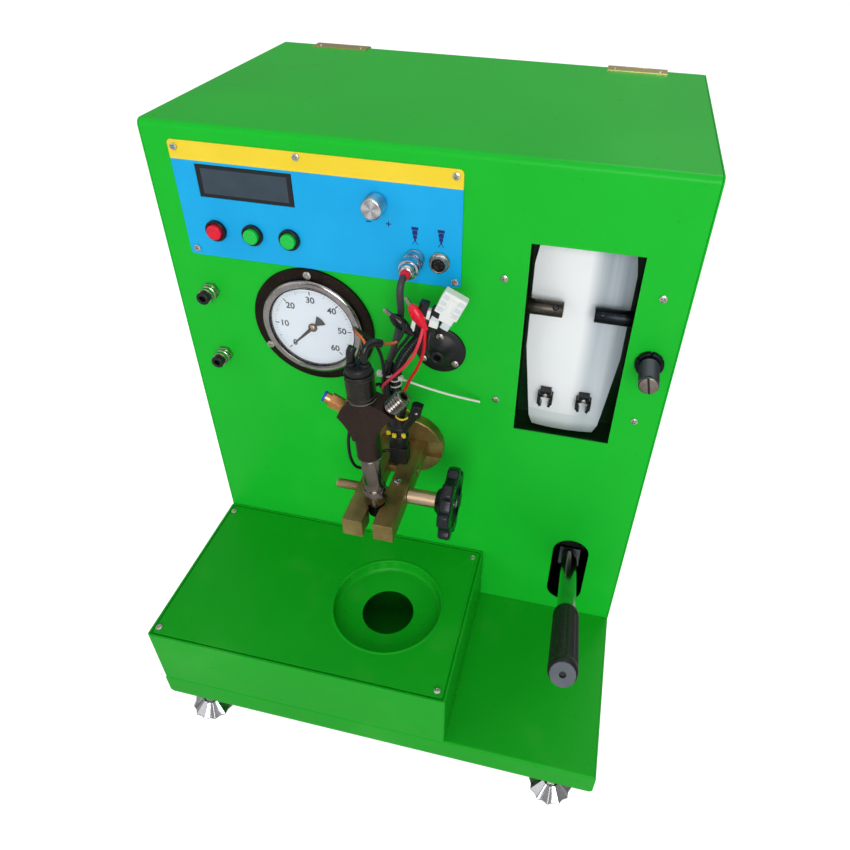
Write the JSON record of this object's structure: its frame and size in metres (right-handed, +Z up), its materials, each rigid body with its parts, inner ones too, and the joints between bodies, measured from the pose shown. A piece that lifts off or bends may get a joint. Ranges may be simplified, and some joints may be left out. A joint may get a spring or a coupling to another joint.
{
  "type": "diesel injector tester",
  "caption": "Bench diesel injector tester: sheet-metal cabinet on a base with hand pump lever, pressure gauge, screw clamp holding an injector, spray window and oil tray.",
  "frame": {"origin": "middle of the machine's box (harness left out) on the surface that the feet stand on", "axes": "+X to the right as seen by the user, +Y toward the rear door, +Z up"},
  "size_m": [0.5, 0.5836, 0.6297],
  "materials": {
    "cabinet_green": "semi-gloss powder coat",
    "deck_green": "semi-gloss powder coat",
    "chamber_dark_green": "satin paint",
    "label_film": "printed film, bare",
    "display_glass": "dark display, off",
    "aluminium": "spun",
    "black_plastic": "moulded",
    "black_gloss": "gloss moulding",
    "red_plastic": "moulded",
    "green_plastic": "moulded",
    "white_plastic": "moulded",
    "chrome": "plated",
    "nickel": "nickel plated",
    "steel": "machined",
    "burnished_steel": "blackened",
    "bronze_plate": "yellow zinc plate",
    "brass": "machined",
    "rubber": "ribbed sleeve",
    "cable_jacket": "cable jacket",
    "dial_white": "enamelled dial",
    "clear_glass": "clear",
    "tank_white": "blow moulded"
  },
  "bodies": {
    "cabinet": {"base_pan": "deck_green", "front_shell": "cabinet_green", "side_panel_left": "cabinet_green", "side_panel_right": "cabinet_green", "tray_box": "deck_green", "tray_lid": "deck_green", "label_plate": "label_film", "lcd_window": "display_glass", "controller_housing": "black_plastic", "button_ring_red": "black_plastic", "button_ring_green": "black_plastic", "button_ring_test": "black_plastic", "socket_spare": "nickel", "socket_driver": "nickel", "gauge_case": "burnished_steel", "gauge_bezel": "chrome", "gauge_dial": "dial_white", "gauge_glass": "clear_glass", "outlet_hood": "black_plastic", "coupling_upper": "nickel", "coupling_lower": "nickel", "valve_body": "burnished_steel", "spray_chamber": "chamber_dark_green", "back_plate": "white_plastic", "spout_left": "burnished_steel", "spout_right": "burnished_steel", "pump_body": "steel", "oil_tank": "tank_white", "pressure_pipe": "steel", "clamp_boss": "bronze_plate", "fixed_jaw": "bronze_plate", "nozzle_nut": "steel", "injector_body": "burnished_steel", "solenoid_nut": "burnished_steel", "return_fitting": "brass", "cable_plug": "nickel", "plug_cable": "cable_jacket", "harness_bundle": "cable_jacket", "injector_plug": "black_plastic", "loop_wire": "cable_jacket", "connector_lead_white": "white_plastic", "test_clip_black": "black_plastic", "test_clip_red": "red_plastic", "foot_front_left": "chrome", "foot_front_right": "chrome", "foot_rear_left": "chrome", "foot_rear_right": "chrome"},
    "lever": {"pump_lever": "chrome", "lever_grip": "rubber"},
    "piston": {"pump_piston": "steel"},
    "jaw": {"moving_jaw": "bronze_plate"},
    "wheel": {"clamp_spindle": "chrome", "handwheel": "black_gloss"},
    "door": {"rear_door": "cabinet_green"},
    "knob": {"adjust_knob": "aluminium"},
    "pointer": {"gauge_pointer": "black_plastic"},
    "release_spindle": {"valve_spindle": "steel"},
    "cap_red": {"button_cap_red": "red_plastic"},
    "cap_green": {"button_cap_green": "green_plastic"},
    "cap_test": {"button_cap_test": "green_plastic"}
  },
  "joints": [
    {"name": "lever_swing", "type": "hinge", "parent": "cabinet", "child": "lever", "pos_m": [0.189, 0.03798, 0.10365], "axis": [1, 0, 0], "range_deg": [0, 38], "stiffness_Nm_per_rad": 3, "springref_deg": -68.75},
    {"name": "piston_stroke", "type": "slide", "parent": "cabinet", "child": "piston", "axis": [0, 0, -1], "range_m": [0, 0.0277]},
    {"name": "jaw_travel", "type": "slide", "parent": "cabinet", "child": "jaw", "axis": [1, 0, 0], "range_m": [0, 0.006]},
    {"name": "wheel_turn", "type": "hinge", "parent": "jaw", "child": "wheel", "pos_m": [0.05, -0.12202, 0.3086], "axis": [1, 0, 0], "range_deg": [0, 1450]},
    {"name": "door_swing", "type": "hinge", "parent": "cabinet", "child": "door", "pos_m": [0, 0.28778, 0.6257], "axis": [1, 0, 0], "range_deg": [0, 100]},
    {"name": "knob_turn", "type": "hinge", "parent": "cabinet", "child": "knob", "pos_m": [-0.0308, -0.04802, 0.5777], "axis": [0, 1, 0], "range_deg": [-150, 150]},
    {"name": "pointer_turn", "type": "hinge", "parent": "cabinet", "child": "pointer", "pos_m": [-0.1036, -0.04302, 0.4403], "axis": [0, 1, 0], "range_deg": [0, 270], "stiffness_Nm_per_rad": 0.001, "springref_deg": -11.46},
    {"name": "valve_turn", "type": "hinge", "parent": "cabinet", "child": "release_spindle", "pos_m": [0.2262, -0.05802, 0.4524], "axis": [0, -1, 0], "range_deg": [0, 360]},
    {"name": "press_red", "type": "slide", "parent": "cabinet", "child": "cap_red", "axis": [0, 1, 0], "range_m": [0, 0.003], "stiffness_N_per_m": 400, "springref_m": -0.002},
    {"name": "press_green", "type": "slide", "parent": "cabinet", "child": "cap_green", "axis": [0, 1, 0], "range_m": [0, 0.003], "stiffness_N_per_m": 400, "springref_m": -0.002},
    {"name": "press_test", "type": "slide", "parent": "cabinet", "child": "cap_test", "axis": [0, 1, 0], "range_m": [0, 0.003], "stiffness_N_per_m": 400, "springref_m": -0.002}
  ],
  "couplings": [
    {"joint": "piston_stroke", "follows": "lever_swing", "m_per_rad": 0.041548},
    {"joint": "wheel_turn", "follows": "jaw_travel", "rad_per_m": 4188.8}
  ]
}
